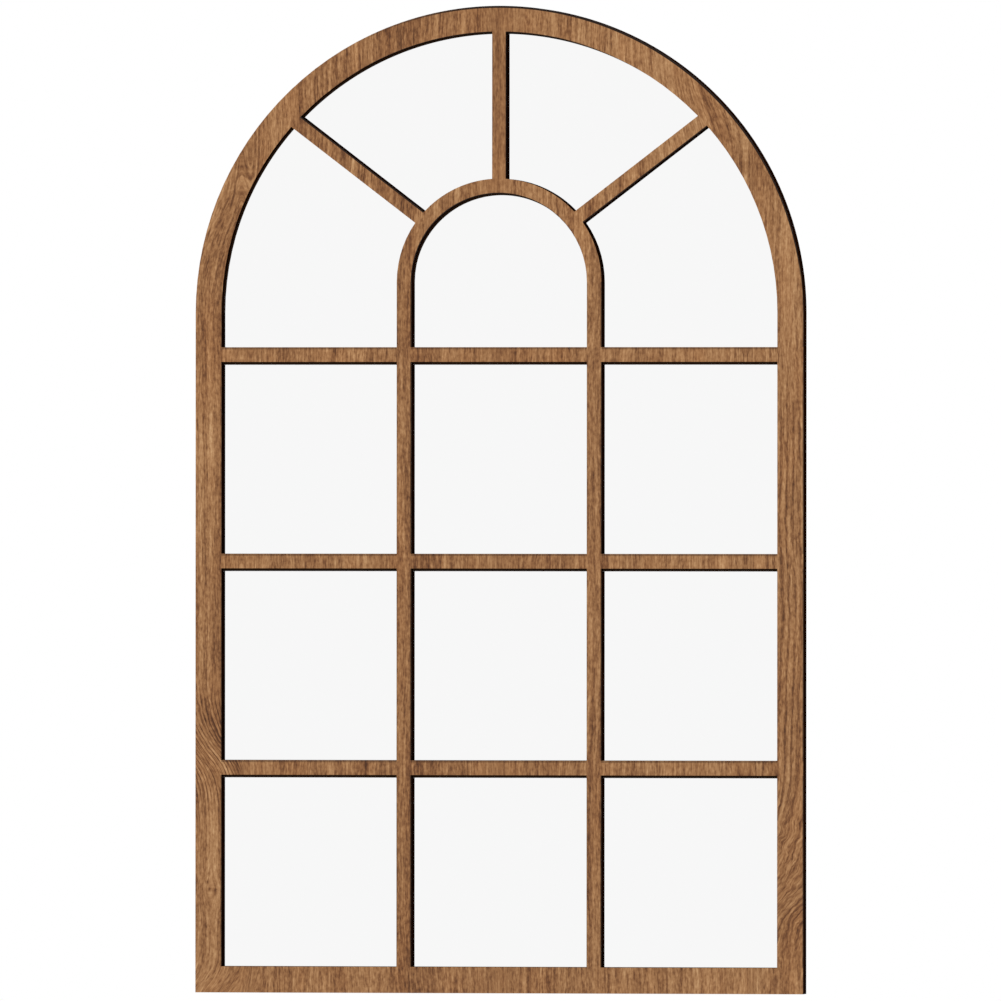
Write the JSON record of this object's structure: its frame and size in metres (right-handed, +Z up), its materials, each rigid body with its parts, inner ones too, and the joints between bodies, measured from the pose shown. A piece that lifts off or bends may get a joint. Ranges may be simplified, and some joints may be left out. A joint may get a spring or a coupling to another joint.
{
  "type": "arched window mirror",
  "caption": "Round-headed wall mirror faced like a sash window, with a rebated veneered rim, a grille of halved bars, a fanlight of an inner arch and radial spokes, and swinging D ring hangers.",
  "frame": {"origin": "on the wall plane, below the middle of the bottom edge", "axes": "X to the right seen from the front, Y into the wall with the mirror facing -Y, Z up"},
  "size_m": [0.61, 0.031, 0.9815],
  "materials": {
    "walnut_veneer": "satin clear lacquer over walnut veneer, grain upright",
    "painted_core": "near-black brown paint, matte",
    "beech": "plain sanded beech",
    "mirror": "silvered float glass, polished edge",
    "card": "grey board",
    "fibreboard": "smooth medium-density fibreboard",
    "rubber": "matte",
    "plated_steel": "bright zinc plate",
    "zinc_plate": "dull zinc plate",
    "nickel_wire": "nickel plate"
  },
  "bodies": {
    "frame": {"left_stile": "painted_core", "right_stile": "painted_core", "bottom_rail": "painted_core", "arch_left": "painted_core", "arch_crown": "painted_core", "arch_right": "painted_core", "crossbar_lower": "painted_core", "crossbar_middle": "painted_core", "crossbar_upper": "painted_core", "muntin_left": "painted_core", "muntin_right": "painted_core", "inner_arch_left": "painted_core", "inner_arch_crown": "painted_core", "inner_arch_right": "painted_core", "spoke_left": "painted_core", "spoke_centre": "painted_core", "spoke_right": "painted_core", "face_veneer": "walnut_veneer", "rim_dowels": "beech", "inner_arch_dowels": "beech", "corner_tongues": "beech", "mirror_glass": "mirror", "liner_card": "card", "backing_board": "fibreboard", "setting_blocks": "rubber", "wall_bumpers": "rubber", "button_screws": "plated_steel", "hanger_screws": "plated_steel", "hanger_left": "plated_steel", "hanger_right": "plated_steel"},
    "turn_button_foot": {"turn_button_foot": "zinc_plate"},
    "turn_button_low_left": {"turn_button_low_left": "zinc_plate"},
    "turn_button_low_right": {"turn_button_low_right": "zinc_plate"},
    "turn_button_high_left": {"turn_button_high_left": "zinc_plate"},
    "turn_button_high_right": {"turn_button_high_right": "zinc_plate"},
    "turn_button_arch_left": {"turn_button_arch_left": "zinc_plate"},
    "turn_button_arch_centre": {"turn_button_arch_centre": "zinc_plate"},
    "turn_button_arch_right": {"turn_button_arch_right": "zinc_plate"},
    "d_ring_left": {"d_ring_left": "nickel_wire"},
    "d_ring_right": {"d_ring_right": "nickel_wire"}
  },
  "joints": [
    {"name": "turn_button_foot_pivot", "type": "hinge", "parent": "frame", "child": "turn_button_foot", "pos_m": [0, -0.00515, 0.00875], "axis": [0, 1, 0], "continuous": true},
    {"name": "turn_button_low_left_pivot", "type": "hinge", "parent": "frame", "child": "turn_button_low_left", "pos_m": [-0.29625, -0.00515, 0.15], "axis": [0, 1, 0], "continuous": true},
    {"name": "turn_button_low_right_pivot", "type": "hinge", "parent": "frame", "child": "turn_button_low_right", "pos_m": [0.29625, -0.00515, 0.15], "axis": [0, 1, 0], "continuous": true},
    {"name": "turn_button_high_left_pivot", "type": "hinge", "parent": "frame", "child": "turn_button_high_left", "pos_m": [-0.29625, -0.00515, 0.43], "axis": [0, 1, 0], "continuous": true},
    {"name": "turn_button_high_right_pivot", "type": "hinge", "parent": "frame", "child": "turn_button_high_right", "pos_m": [0.29625, -0.00515, 0.43], "axis": [0, 1, 0], "continuous": true},
    {"name": "turn_button_arch_left_pivot", "type": "hinge", "parent": "frame", "child": "turn_button_arch_left", "pos_m": [-0.22016, -0.00515, 0.87473], "axis": [0, 1, 0], "continuous": true},
    {"name": "turn_button_arch_centre_pivot", "type": "hinge", "parent": "frame", "child": "turn_button_arch_centre", "pos_m": [0, -0.00515, 0.97275], "axis": [0, 1, 0], "continuous": true},
    {"name": "turn_button_arch_right_pivot", "type": "hinge", "parent": "frame", "child": "turn_button_arch_right", "pos_m": [0.22016, -0.00515, 0.87473], "axis": [0, 1, 0], "continuous": true},
    {"name": "d_ring_left_swing", "type": "hinge", "parent": "frame", "child": "d_ring_left", "pos_m": [-0.2934, -0.0031, 0.6], "axis": [1, 0, 0], "range_deg": [0, 180]},
    {"name": "d_ring_right_swing", "type": "hinge", "parent": "frame", "child": "d_ring_right", "pos_m": [0.2934, -0.0031, 0.6], "axis": [1, 0, 0], "range_deg": [0, 180]}
  ]
}
